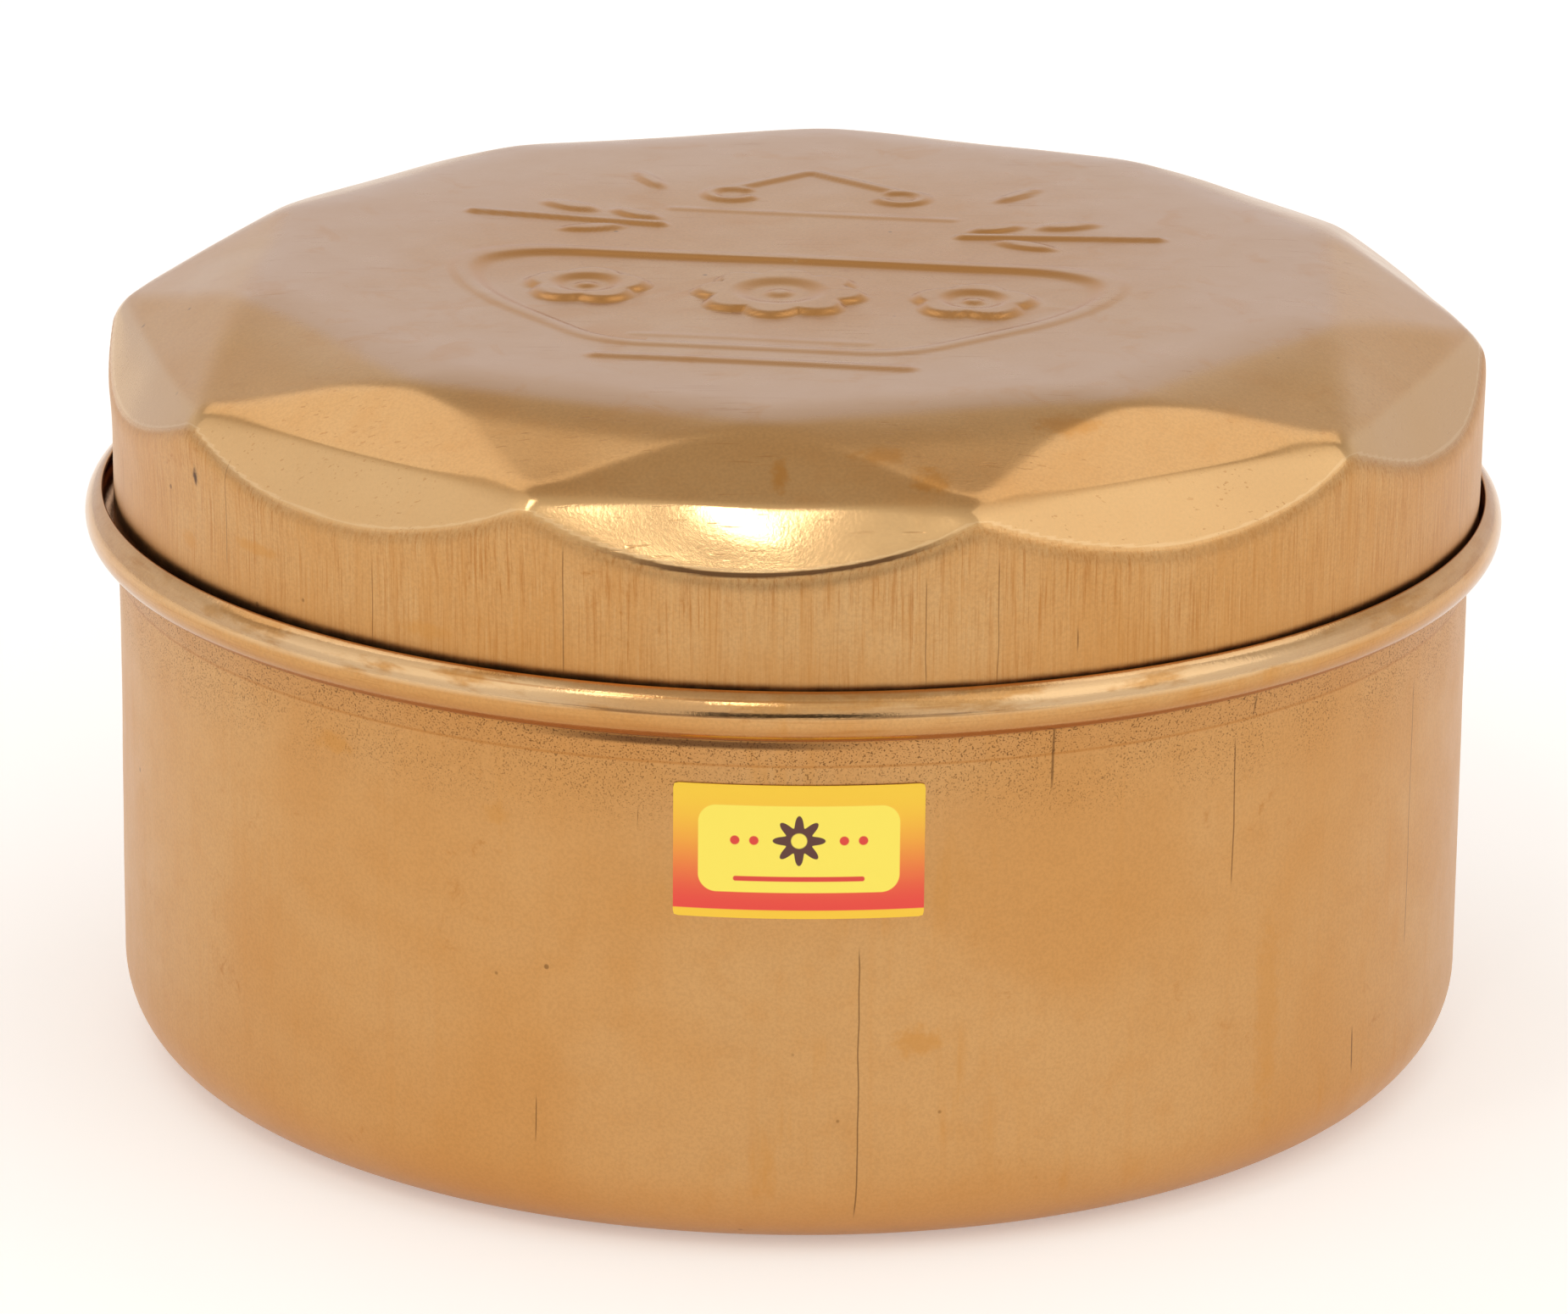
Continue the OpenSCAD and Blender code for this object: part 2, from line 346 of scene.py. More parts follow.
def pattern_height(x, y):
    """Height of the pressed pattern above the flat top."""
    u = x * math.cos(MOTIF_TURN) + y * math.sin(MOTIF_TURN)
    v = -x * math.sin(MOTIF_TURN) + y * math.cos(MOTIF_TURN)
    inside = panel_inside(u, v)
    height = -0.42 * smooth_step(-0.6, 1.4, inside)
    height = height + 0.20 * ridge(np.abs(inside + 1.4), 1.2)
    raised = np.maximum(flowers_height(u, v), arch_height(u, v))
    for start, end, half_width, soft, share in BARS:
        bar = share * ridge(segment_distance(u, v, start, end), half_width, soft)
        raised = np.maximum(raised, bar)
    for side in (-1, 1):
        raised = np.maximum(raised, spray_height(side * u, v))
    return np.minimum(height + raised, MOTIF_H - 0.06)


def pattern_walls(points):
    """Share from 0 to 1 of how steep the pressed pattern is, on the flat top only."""
    x, y, reach = points[..., 0], points[..., 1], 0.25
    rise_x = pattern_height(x + reach, y) - pattern_height(x - reach, y)
    rise_y = pattern_height(x, y + reach) - pattern_height(x, y - reach)
    steep = np.hypot(rise_x, rise_y) / (2 * reach)
    return np.clip(steep / 0.30, 0, 1) * (points[..., 2] > LID_TOP - 1.2)


def slope_value(points, turn, r, z, slope):
    """Signed distance outside a sloping plane through radius r and height z."""
    way = points[..., 0] * math.cos(turn) + points[..., 1] * math.sin(turn)
    return (way - r) * math.sin(slope) + (points[..., 2] - z) * math.cos(slope)


def lid_value(points, pattern, inset=0.0):
    """Below zero inside the lid's crown. Its edges are rounded as in pressed sheet."""
    turn = np.arctan2(points[..., 1], points[..., 0])
    corner_share = (0.5 - 0.5 * np.cos((turn - FRONT_FACET) * FACETS)) ** 3
    bevels = np.full(points.shape[:-1], -1e3)
    facets = np.full(points.shape[:-1], -1e3)
    for k in range(FACETS):
        at = FRONT_FACET + k * PITCH
        across = -points[..., 0] * math.sin(at) + points[..., 1] * math.cos(at)
        bevels = smooth_max(bevels, slope_value(points, at, CHORD_R, CORNER_Z, BROAD_SLOPE), 0.5)
        narrow = slope_value(points, at + PITCH / 2, CORNER_R, CORNER_Z, NARROW_SLOPE)
        bevels = smooth_max(bevels, narrow, 0.5)
        bulge = 0.00055 * np.minimum(across ** 2, 900)
        facets = smooth_max(facets, slope_value(points, at, CHORD_R, CORNER_Z, FACET_SLOPE) + bulge, 0.6)
    top = points[..., 2] - LID_TOP - pattern
    crown = smooth_max(bevels, top, 3.0)
    skirt = np.hypot(points[..., 0], points[..., 1]) - LID_R
    sides = smooth_max(facets, skirt, 0.9)
    return smooth_max(crown, sides, 0.22 + 0.9 * corner_share) + inset


def crown_rays(steps_flat, steps_turn, steps_skirt):
    """Start points and directions of the rays that find the lid's surface, from its axis to its edge."""
    starts = [(r, FAN_Z) for r in steps_flat]
    ways = [(0.0, 1.0) for _ in steps_flat]
    for t in np.radians(steps_turn):
        starts.append((FAN_X, FAN_Z))
        ways.append((math.sin(t), math.cos(t)))
    for z in steps_skirt:
        starts.append((FAN_X, z))
        ways.append((1.0, 0.0))
    return revolve(starts, LID_SEGMENTS), revolve(ways, LID_SEGMENTS)


def cast(starts, ways, with_pattern, inset=0.0):
    """Points where the rays leave the lid."""
    near, far = np.zeros(starts.shape[:-1]), np.full(starts.shape[:-1], 40.0)
    for _ in range(34):
        middle = (near + far) / 2
        points = starts + ways * middle[..., None]
        pattern = pattern_height(points[..., 0], points[..., 1]) if with_pattern else 0.0
        outside = lid_value(points, pattern, inset) > 0
        far = np.where(outside, middle, far)
        near = np.where(outside, near, middle)
    return starts + ways * near[..., None]


def lid_inside():
    """Rings up the inside of the lid, from its middle to its edge."""
    skirt = np.linspace(FAN_Z, LID_EDGE, 5)[1:]
    starts, ways = crown_rays(np.linspace(3, FAN_X, 9), np.linspace(6, 90, 14), skirt)
    return cast(starts, ways, False, SHEET)


def uneven_sheet(points):
    """How far the pressed sheet stands back from its ideal surface: most on the facets, least on top."""
    z = points[..., 2]
    wobble = 0.10 * soft_waves(points, 11, 42) + 0.035 * soft_waves(points, 12, 15)
    lens = smooth_step(LID_TOP - 19, LID_TOP - 12, z) * (1 - smooth_step(LID_TOP - 9, LID_TOP - 5, z))
    wobble = wobble + lens * 0.09 * soft_waves(points, 13, 24)
    held = 1 - smooth_step(LID_TOP - 1.0, LID_TOP - 0.2, z)
    return np.clip(wobble * (0.35 + 0.65 * held) - 0.16, -0.5, 0.0)[..., None]


def lid_outside():
    """Rings over the outside of the lid, from its middle to its edge."""
    flat = np.concatenate([np.linspace(0.5, 62, 98), np.linspace(63, FAN_X, 8)])
    turn = np.concatenate([np.linspace(2, 30, 10), np.linspace(31.5, 88, 46)])
    skirt = np.concatenate([np.linspace(FAN_Z, FAN_Z - 3, 5), np.linspace(FAN_Z - 5, LID_EDGE + 0.35, 8)])
    starts, ways = crown_rays(flat, turn, skirt)
    outer = cast(starts, ways, True)
    return outer + ways * uneven_sheet(outer)


def lid_rings():
    """Rings of the whole lid: up the inside from the middle to the edge, then back over the outside."""
    inner, outer = lid_inside(), lid_outside()
    edge = outer[-1:] * 0.5 + inner[-1:] * 0.5
    edge[..., 2] = LID_EDGE
    inner[-1, :, 2] = LID_EDGE + 0.2
    return inner, edge, outer[::-1]


def squeeze_skirt(rings):
    """The skirt is pushed in a little on one side, so the gap in the rim is wider there."""
    turn = np.arctan2(rings[..., 1], rings[..., 0])
    low = 1 - smooth_step(LID_TOP - 24, LID_TOP - 8, rings[..., 2])
    push = 0.9 * (0.5 - 0.5 * np.cos(turn)) ** 2 * low
    return rings - outward(rings) * push[..., None]


def make_lid():
    inner, edge, outer = lid_rings()
    rings = np.concatenate([inner, edge, outer])
    r, z = np.hypot(rings[..., 0], rings[..., 1]), rings[..., 2]
    on_skirt = smooth_step(LID_R - 1.15, LID_R - 0.55, r) * (1 - smooth_step(CORNER_Z, CORNER_Z + 1, z))
    on_lens = (1 - on_skirt) * (1 - smooth_step(CORNER_Z - 0.6, CORNER_Z + 0.4, z))
    walls = pattern_walls(rings)
    rings = squeeze_skirt(rings)
    start = (0, 0, LID_TOP - SHEET)
    end = (0, 0, float(outer[-1, :, 2].mean()))
    lid = closed_shell("lid_shell", rings, start, end, 60)
    for name, share in (("skirt", on_skirt), ("lens", on_lens), ("walls", walls)):
        attribute = lid.data.attributes.new(name, "FLOAT", "POINT")
        attribute.data.foreach_set("value", np.append(share.ravel(), [0.0, 0.0]).astype(np.float32))
    return lid


# ---------------- label

def make_label():
    """Thin printed sticker wrapped on the wall, with rounded corners."""
    columns, rows = 48, 28
    half_w, half_h = LABEL_W / 2, (LABEL_HIGH[2] - LABEL_LOW[2]) / 2
    mid_z = (LABEL_HIGH[2] + LABEL_LOW[2]) / 2
    s, t = np.meshgrid(np.linspace(-1, 1, columns), np.linspace(-1, 1, rows))
    across, up = s * half_w, t * half_h
    over_x = np.maximum(np.abs(across) - (half_w - LABEL_CORNER), 0)
    over_z = np.maximum(np.abs(up) - (half_h - LABEL_CORNER), 0)
    reach = np.hypot(over_x, over_z)
    pull = np.where(reach > LABEL_CORNER, LABEL_CORNER / np.maximum(reach, 1e-9), 1.0)
    across = np.sign(across) * (np.abs(across) - over_x * (1 - pull))
    up = np.sign(up) * (np.abs(up) - over_z * (1 - pull))
    turn = -math.pi / 2 + LABEL_TURN + across / WALL_R
    layers = []
    for r in (WALL_R + LABEL_T, WALL_R + 0.03):
        layers.append(np.stack([r * np.cos(turn), r * np.sin(turn), mid_z + up], -1).reshape(-1, 3))
    count = columns * rows
    grid = np.arange(count).reshape(rows, columns)
    quads = np.stack([grid[:-1, :-1], grid[:-1, 1:], grid[1:, 1:], grid[1:, :-1]], -1).reshape(-1, 4)
    faces = quads.tolist() + (quads[:, ::-1] + count).tolist()
    rim = list(grid[0]) + list(grid[1:, -1]) + list(grid[-1, -2::-1]) + list(grid[-2:0:-1, 0])
    faces += rim_faces(rim, count)
    return new_object("label_sticker", np.vstack(layers), faces)


# ---------------- cups and spoon

def cup_rings():
    """Rings of a cup: floor and wall outside, the curl as a full round edge, and the inside."""
    bead_at = CUP_R - CUP_BEAD_R
    top_r = bead_at - CUP_BEAD_R + CUP_SHEET
    low_r = top_r - CUP_TAPER
    flat_r = low_r - CUP_BASE_R
    bead_z = CUP_H - CUP_BEAD_R
    tuck = math.degrees(math.asin(min(1.0, (CUP_BEAD_R - CUP_SHEET) / CUP_BEAD_R)))
    points = line((2, 0), (flat_r, 0), 5)
    points += arc(flat_r, CUP_BASE_R, CUP_BASE_R, -90, 0, 12)[:-1]
    points += line((low_r, CUP_BASE_R), (top_r, bead_z - CUP_BEAD_R), 12)
    points += [(top_r, bead_z - CUP_BEAD_R * math.sin(math.radians(tuck)) * 0.9)]
    points += arc(bead_at, bead_z, CUP_BEAD_R, -180 + tuck * 1.2, 180, 30)
    points += line((bead_at - CUP_BEAD_R, bead_z - 0.4), (low_r - CUP_SHEET, CUP_BASE_R), 12)
    points += arc(flat_r, CUP_BASE_R, CUP_BASE_R - CUP_SHEET, 0, -90, 10)[:-1]
    points += line((flat_r, CUP_SHEET), (2, CUP_SHEET), 5)
    points += [(2, CUP_SHEET)]
    return revolve(points, CUP_SEGMENTS)


def make_cup(name, x, y, seed):
    rings = cup_rings()
    wobble = np.clip(0.05 * soft_waves(rings, seed, 24) - 0.03, -0.12, 0.0)
    wall = smooth_step(2, 10, rings[..., 2]) * (1 - smooth_step(CUP_H - 5, CUP_H - 2, rings[..., 2]))
    rings = rings + outward(rings) * (wobble * wall)[..., None]
    rings = rings + np.array([x, y, CUP_LOW[2]])
    return closed_shell(name, rings, (x, y, CUP_LOW[2]), (x, y, CUP_LOW[2] + CUP_SHEET))


def spoon_half_width(x):
    """Half the spoon's width at each place along it, from the bowl's front to the end of the handle."""
    tail_x = SPOON_LEN - SPOON_BOWL_R - SPOON_TAIL_W / 2
    bowl = np.sqrt(np.maximum(SPOON_BOWL_R ** 2 - x ** 2, 0))
    share = np.clip((x - SPOON_BOWL_R) / (tail_x - SPOON_BOWL_R), 0, 1)
    handle = (SPOON_NECK_W + (SPOON_TAIL_W - SPOON_NECK_W) * share) / 2
    tail = np.sqrt(np.maximum((SPOON_TAIL_W / 2) ** 2 - np.maximum(x - tail_x, 0) ** 2, 0))
    handle = np.where(x > tail_x, tail, handle)
    return np.where(x > SPOON_BOWL_R * 0.3, np.maximum(bowl, handle), bowl)


def spoon_depth(x, y):
    """Depth of the underside below the bowl's edge."""
    ball_r = (SPOON_BOWL_R ** 2 + SPOON_BOWL_H ** 2) / (2 * SPOON_BOWL_H)
    r2 = x ** 2 + y ** 2
    ball = np.sqrt(np.maximum(ball_r ** 2 - r2, 0)) - (ball_r - SPOON_BOWL_H)
    return np.maximum(ball, SPOON_T * 0.98)


def make_spoon():
    """Pressed spoon: a round bowl that runs into a flat handle with a rounded end."""
    along, across = 150, 17
    t = np.linspace(0, 1, along)
    x = -SPOON_BOWL_R + 0.02 + (SPOON_LEN - 0.04) * (0.35 * (1 - np.cos(math.pi * t)) / 2 + 0.65 * t)
    side = np.sin(np.linspace(-math.pi / 2, math.pi / 2, across))
    half = np.maximum(spoon_half_width(x), 0.25)
    gx = np.repeat(x[:, None], across, 1)
    gy = half[:, None] * side[None, :]
    low = -spoon_depth(gx, gy)
    thick = SPOON_T * np.where(gx < SPOON_BOWL_R, 0.92, 0.85)
    edge = 1 - 0.5 * np.abs(side[None, :]) ** 10
    top = low + thick * (0.5 + 0.5 * edge)
    bottom = low + thick * (0.5 - 0.5 * edge)
    points = np.vstack([np.stack([gx, gy, z], -1).reshape(-1, 3) for z in (top, bottom)])
    count = along * across
    grid = np.arange(count).reshape(along, across)
    quads = np.stack([grid[:-1, :-1], grid[1:, :-1], grid[1:, 1:], grid[:-1, 1:]], -1).reshape(-1, 4)
    faces = quads.tolist() + (quads[:, ::-1] + count).tolist()
    rim = list(grid[:, 0]) + list(grid[-1, 1:]) + list(grid[-2::-1, -1]) + list(grid[0, -2:0:-1])
    faces += rim_faces(rim, count)
    lean, place = spoon_place()
    turned = points @ np.array(Matrix.Rotation(-lean, 3, "Y")).T + place
    return new_object("spoon_pressed", turned, faces, 50)


def spoon_place():
    """Lean and origin of the spoon: its handle ends at the box's highest and furthest corner."""
    reach = SPOON_LEN - SPOON_BOWL_R
    lean = math.atan2(CUP_H, CUP_R - CUP_BEAD_R + CUP_R - 2 * CUP_BEAD_R + CUP_SHEET - CUP_TAPER - CUP_BASE_R)
    tail_x = reach - SPOON_TAIL_W / 2
    end_r = SPOON_TAIL_W / 2
    x = SPOON_HIGH[0] - (tail_x + end_r) * math.cos(lean) - SPOON_T * math.sin(lean)
    z = SPOON_HIGH[2] - (tail_x + end_r) * math.sin(lean)
    return lean, np.array([x, 0.0, z])


# ---------------- materials

class Nodes:
    """Short calls for building one material's nodes. Places are in millimetres."""

    def __init__(self, name):
        self.material = bpy.data.materials.new(name)
        self.material.use_nodes = True
        self.tree = self.material.node_tree
        self.shader = self.tree.nodes["Principled BSDF"]
        source = self.add("ShaderNodeTexCoord")
        self.place = self.vector("SCALE", source.outputs["Object"], scale=1 / MM)
        split = self.add("ShaderNodeSeparateXYZ", Vector=self.place)
        self.x, self.y, self.z = split.outputs
        from_front = self.math("ARCTAN2", self.x, self.times(self.y, -1))
        self.turn = self.times(from_front, 180 / math.pi)
        self.radius = self.length(self.x, self.y)

    def add(self, kind, settings=None, **inputs):
        node = self.tree.nodes.new(kind)
        for key, value in (settings or {}).items():
            setattr(node, key, value)
        for key, value in inputs.items():
            self.put(node.inputs[key.replace("_", " ")], value)
        return node

    def put(self, socket, value):
        if isinstance(value, bpy.types.NodeSocket):
            self.tree.links.new(value, socket)
        elif socket.type == "RGBA" and not hasattr(value, "__len__"):
            socket.default_value = (value, value, value, 1)
        elif socket.type == "RGBA":
            socket.default_value = (*value, 1)
        else:
            socket.default_value = value

    def math(self, operation, a, b=0.0):
        node = self.add("ShaderNodeMath", {"operation": operation})
        self.put(node.inputs[0], a)
        self.put(node.inputs[1], b)
        return node.outputs[0]

    def plus(self, a, b):
        return self.math("ADD", a, b)

    def minus(self, a, b):
        return self.math("SUBTRACT", a, b)

    def times(self, *values):
        total = values[0]
        for value in values[1:]:
            total = self.math("MULTIPLY", total, value)
        return total

    def length(self, a, b):
        """Distance from two offsets at right angles."""
        return self.math("SQRT", self.plus(self.math("POWER", a, 2), self.math("POWER", b, 2)))

    def vector(self, operation, a, b=None, scale=None):
        node = self.add("ShaderNodeVectorMath", {"operation": operation})
        self.put(node.inputs[0], a)
        if b is not None:
            self.put(node.inputs[1], b)
        if scale is not None:
            self.put(node.inputs["Scale"], scale)
        return node.outputs[0]

    def attribute(self, name):
        return self.add("ShaderNodeAttribute", {"attribute_name": name}).outputs["Fac"]

    def stretched(self, x, y, z):
        """Place with each axis scaled, so that a texture is drawn out along the smallest."""
        return self.vector("MULTIPLY", self.place, (x, y, z))

    def noise(self, size, detail=3.0, rough=0.5, place=None, twist=0.0):
        """Noise whose features are about size millimetres across, from 0 to 1."""
        node = self.add(
            "ShaderNodeTexNoise", Vector=place or self.place,
            Scale=1 / size, Detail=detail, Roughness=rough, Distortion=twist)
        return node.outputs["Fac"]

    def step(self, value, low, high, from_value=0.0, to_value=1.0):
        """Soft step of value from low to high."""
        node = self.add("ShaderNodeMapRange", {"interpolation_type": "SMOOTHSTEP"})
        names = ("Value", "From Min", "From Max", "To Min", "To Max")
        for key, number in zip(names, (value, low, high, from_value, to_value)):
            self.put(node.inputs[key], number)
        return node.outputs[0]

    def between(self, value, rise, fall):
        """Soft band: value is past the step rise and not yet past the step fall."""
        return self.times(self.step(value, *rise), self.step(value, *fall))

    def mix(self, share, a, b):
        node = self.add("ShaderNodeMix", {"data_type": "RGBA"})
        self.put(node.inputs[0], share)
        self.put(node.inputs[6], a)
        self.put(node.inputs[7], b)
        return node.outputs[2]

    def coat(self, colour, paint, *shares):
        """Colour with paint over it, as strong as all the shares multiplied."""
        return self.mix(self.times(*shares), colour, paint)

    def spots(self, size, share, radius):
        """Scattered round spots, in the given share of cells of the given size."""
        node = self.add("ShaderNodeTexVoronoi", Scale=1 / size, Randomness=1.0)
        self.put(node.inputs["Vector"], self.place)
        pick = self.add("ShaderNodeSeparateColor")
        self.put(pick.inputs[0], node.outputs["Color"])
        near = self.step(node.outputs["Distance"], radius, radius * 0.5)
        return self.times(near, self.math("LESS_THAN", pick.outputs[0], share))

    def upright_mark(self, turn_deg, low, high, width):
        """Thin upright line at one turn from the front, between two heights."""
        sway = self.times(self.minus(self.noise(9.0, 1.0), 0.5), 0.35)
        off = self.math("ABSOLUTE", self.minus(self.plus(self.turn, sway), turn_deg))
        thin = self.step(self.times(off, self.radius, math.pi / 180), width, width * 0.35)
        return self.times(thin, self.between(self.z, (low, low + 2.5), (high, high - 2.5)))

    def blotch(self, turn_deg, height, wide, tall):
        """Soft uneven blotch round one turn from the front and one height."""
        across = self.times(self.minus(self.turn, turn_deg), self.radius, math.pi / 180 / wide)
        up = self.times(self.minus(self.z, height), 1 / tall)
        ragged = self.times(self.minus(self.noise(1.6, 4.0, 0.65), 0.5), 1.5)
        return self.step(self.plus(self.length(across, up), ragged), 1.0, 0.3)

    def level_mark(self, height, width, left=-180, right=180, fade=12):
        """Thin level line round the box at one height, between two turns from the front."""
        near = self.step(self.math("ABSOLUTE", self.minus(self.z, height)), width, width * 0.3)
        if right - left >= 360:
            return near
        near = self.times(near, self.step(self.turn, left, left + fade))
        return self.times(near, self.step(self.turn, right, right - fade))

    def scratches(self, turn_deg, size, share, patch):
        """Fine straight scratches that lie near one direction on a level face, in patches."""
        turn = (0, 0, math.radians(turn_deg))
        turned = self.add("ShaderNodeMapping", Vector=self.place, Rotation=turn, Scale=(0.035, 1, 1))
        thin = self.step(self.noise(size, 1.0, 0.5, turned.outputs[0]), 0.74 - share, 0.78 - share)
        return self.times(thin, self.step(self.noise(patch, 2.0), 0.46, 0.62))

    def bump(self, height, distance_mm, after=None):
        node = self.add("ShaderNodeBump", Height=height, Distance=distance_mm * MM, Strength=1.0)
        if after is not None:
            self.put(node.inputs["Normal"], after)
        return node.outputs[0]


BRASS = (0.610, 0.330, 0.122)
BRASS_PALE = (0.650, 0.415, 0.195)
BRASS_OCHRE = (0.560, 0.268, 0.078)
POLISHED = (0.690, 0.450, 0.218)
# Pale colour of a painted highlight, on top of the roll and along the lower rims of the lid's facets.
PAINTED_HIGHLIGHT = (0.800, 0.565, 0.320)
# Greyish oxide film, also used as a painted sheen where the top reflects at a low angle.
FILM_AND_SHEEN = (0.610, 0.405, 0.262)
TARNISH = (0.400, 0.150, 0.030)
STAIN = (0.560, 0.255, 0.055)
DIRT = (0.090, 0.038, 0.016)

# Upright lines: turn from the front, bottom, top and half width
BODY_LINES = (
    (5.5, 5, 45, 0.14), (-20.5, 14, 22, 0.12), (38.2, 46, 68, 0.16), (21, 64, 75, 0.24),
    (40, 69, 74, 0.22), (63, 26, 66, 0.12), (-12, 60, 64, 0.10), (54, 12, 20, 0.22),
    (112, 10, 58, 0.14), (-150, 30, 66, 0.14),
)
LID_LINES = (
    (-18, 80, 99, 0.12), (10.3, 80, 96, 0.10), (16, 80, 98, 0.10), (-52, 84, 100, 0.10),
    (22.5, 83, 88, 0.16), (-35, 80, 92, 0.09), (140, 80, 97, 0.12), (-117, 82, 99, 0.12),
    (71, 80, 95, 0.10),
)

# Stains: turn from the front, height, half width, half height and strength
BODY_STAINS = (
    (10.2, 31, 4, 3, 0.55), (-39.6, 65, 4, 2, 0.5), (42.5, 26, 3, 22, 0.35),
    (-24, 60, 2.5, 2, 0.35), (-100, 20, 6, 5, 0.4), (165, 44, 7, 3, 0.4),
)
LID_STAINS = (
    (-1.2, LID_TOP - 5.6, 1.5, 2, 0.75), (7.5, LID_TOP - 3.6, 4.5, 0.9, 0.55),
    (11.5, LID_TOP - 5.8, 3.4, 1.5, 0.7), (-48, 89, 6, 1.2, 0.5), (-58, 86, 3, 1.5, 0.5),
    (-30, 84, 5, 1.6, 0.35), (26, LID_TOP - 2.4, 6, 1, 0.5),
)

# Scratches on the lid: direction, size, share and size of their patches
LID_SCRATCHES = ((20, 0.5, 0.04, 18.0), (-38, 0.45, 0.04, 14.0), (74, 0.5, 0.03, 22.0))


def brass_base(nodes, seed_shift):
    """Colour of hand-worked brass: slow drifts of tone, mottling, tarnish and fine specks."""
    moved = nodes.vector("ADD", nodes.place, (seed_shift, -2 * seed_shift, seed_shift / 3))
    slow = nodes.step(nodes.noise(46.0, 2.0, 0.5, moved, 0.6), 0.32, 0.70)
    tone = nodes.mix(0.45, BRASS, nodes.mix(slow, BRASS_OCHRE, BRASS_PALE))
    mottle = nodes.noise(5.0, 5.0, 0.62, moved)
    tone = nodes.coat(tone, BRASS_OCHRE, nodes.step(mottle, 0.45, 0.75, 0.0, 0.28))
    fine = nodes.noise(0.45, 2.0, 0.6)
    tone = nodes.coat(tone, DIRT, nodes.step(fine, 0.30, 0.66, 0.13, 0.0))
    patch = nodes.step(nodes.noise(3.2, 6.0, 0.7, moved, 0.8), 0.56, 0.74)
    area = nodes.step(nodes.noise(24.0, 2.0, 0.5, moved), 0.52, 0.66)
    tone = nodes.coat(tone, TARNISH, patch, area, 0.6)
    return nodes.coat(tone, DIRT, nodes.spots(6.5, 0.10, 0.07), 0.7)


def add_marks(nodes, colour, lines, line_share, stains):
    """Colour with dark upright lines and soft stains over it."""
    for line_at in lines:
        colour = nodes.coat(colour, DIRT, nodes.upright_mark(*line_at), line_share)
    for *where, share in stains:
        colour = nodes.coat(colour, STAIN, nodes.blotch(*where), share)
    return colour


def finish_brass(nodes, colour, roughness, normal):
    shader = nodes.shader
    nodes.put(shader.inputs["Base Color"], colour)
    nodes.put(shader.inputs["Roughness"], roughness)
    shader.inputs["Metallic"].default_value = 1.0
    nodes.put(shader.inputs["Normal"], normal)
    return nodes.material


def body_wall_colour(nodes, streak):
    """Wall: drawn streaks, upright smears."""
    colour = nodes.mix(0.22, brass_base(nodes, 13.0), BRASS_OCHRE)
    colour = nodes.coat(colour, BRASS_OCHRE, nodes.step(streak, 0.5, 0.8, 0.0, 0.22))
    smear = nodes.step(nodes.noise(4.0, 3.0, 0.6, nodes.stretched(1, 1, 0.15)), 0.50, 0.72)
    area = nodes.step(nodes.noise(30.0, 1.0), 0.50, 0.66)
    return nodes.coat(colour, STAIN, smear, area, 0.5)


def body_flare_colour(nodes, colour, under_flare, grit):
    """Grit under the rim, a darker flare and a warmer foot."""
    colour = nodes.coat(colour, DIRT, under_flare, nodes.step(nodes.noise(9.0, 3.0), 0.25, 0.6), grit, 0.55)
    flare = nodes.between(nodes.z, (FLARE_LOW - 0.2, FLARE_LOW + 0.2), (FLARE_TOP + 0.2, FLARE_TOP - 0.2))
    colour = nodes.coat(colour, TARNISH, flare, 0.16)
    colour = nodes.coat(colour, DIRT, flare, grit, 0.40)
    colour = nodes.coat(colour, TARNISH, nodes.level_mark(FLARE_LOW, 0.28), 0.42)
    return nodes.coat(colour, BRASS_OCHRE, nodes.step(nodes.z, 15, 2, 0.0, 0.5))


def body_bead_colour(nodes, colour, on_bead, spun, grit):
    """Rolled edge: spun lines, a painted highlight in patches on top, a painted dark reflection along its
    middle and painted shade in the corner under it in front, and other dark lines in front and below.
    """
    colour = nodes.coat(colour, TARNISH, on_bead, nodes.step(spun, 0.5, 0.72), 0.30)
    # Painted highlight: pale patches on top of the roll, strongest left and right of the front, weaker at its
    # middle and round the back.
    highlight_band = nodes.between(nodes.z, (ROLL_Z - 0.2, ROLL_Z + 0.8), (RIM_H + 0.2, RIM_H - 0.5))
    patches = nodes.step(nodes.noise(6.0, 4.0, 0.6, nodes.stretched(0.4, 0.4, 1.6)), 0.36, 0.52)
    off_centre = nodes.math("ABSOLUTE", nodes.plus(nodes.turn, 2.0))
    share = nodes.times(nodes.step(off_centre, 9, 18, 0.25, 0.72), nodes.step(off_centre, 62, 36, 0.30, 1.0))
    colour = nodes.coat(colour, PAINTED_HIGHLIGHT, highlight_band, patches, share)
    colour = nodes.coat(colour, TARNISH, nodes.level_mark(ROLL_Z - 2.6, 2.4), 0.30)
    colour = nodes.coat(colour, TARNISH, nodes.level_mark(FLARE_TOP + 0.15, 0.62), 0.62)
    # Painted shade: a dark line in the corner under the roll, in front only.
    colour = nodes.coat(colour, DIRT, nodes.level_mark(FLARE_TOP - 0.85, 0.85, -24, 9), 0.85)
    colour = nodes.coat(colour, DIRT, nodes.level_mark(FLARE_TOP - 0.5, 0.5), grit, 0.7)
    # Painted dark reflection: a thin dark line along the middle of the roll, in front only.
    mid_dark_reflection = nodes.level_mark(ROLL_Z + 0.5, 0.30, -26, 24)
    colour = nodes.coat(colour, DIRT, mid_dark_reflection, nodes.step(spun, 0.3, 0.6), 0.6)
    return nodes.coat(colour, TARNISH, nodes.level_mark(ROLL_Z + 2.4, 0.16, -34, 12), 0.4)


